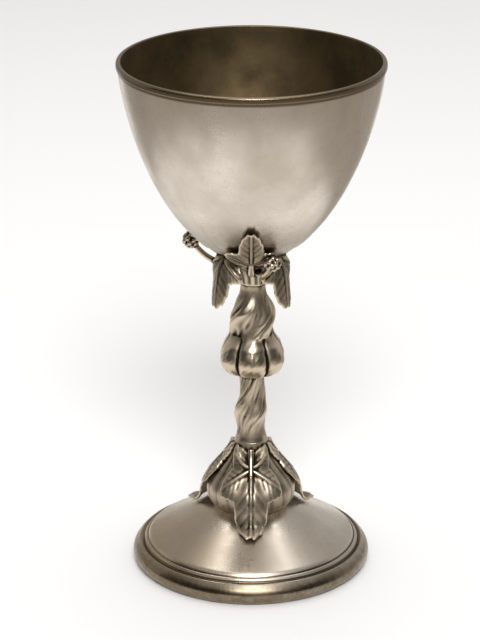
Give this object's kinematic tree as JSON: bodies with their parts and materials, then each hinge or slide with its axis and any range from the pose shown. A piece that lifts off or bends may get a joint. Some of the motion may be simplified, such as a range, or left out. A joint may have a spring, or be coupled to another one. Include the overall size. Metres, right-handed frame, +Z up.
{
  "type": "trophy cup",
  "caption": "Silver goblet: a hollow bell-shaped bowl with vine leaves and grapes beneath it, a knopped vine stem, and a hollow cone-shaped foot that rests on its ring.",
  "frame": {"origin": "centre of the foot's underside, on the surface that the cup stands on", "axes": "+Z up along the cup's axis; -Y towards the side that the picture shows"},
  "size_m": [0.0896, 0.0896, 0.18],
  "materials": {
    "bowl_silver": "spun, silver plated, dulled by tarnish, with a darkened gilt inside",
    "foot_silver": "spun, silver plated, with brown tarnish at the rim",
    "cast_silver": "cast, silver plated, oxidised dark in the hollows"
  },
  "bodies": {
    "root": {"bowl": "bowl_silver", "calyx": "cast_silver", "stem": "cast_silver", "leaf_cap": "cast_silver", "foot": "foot_silver"}
  },
  "joints": []
}
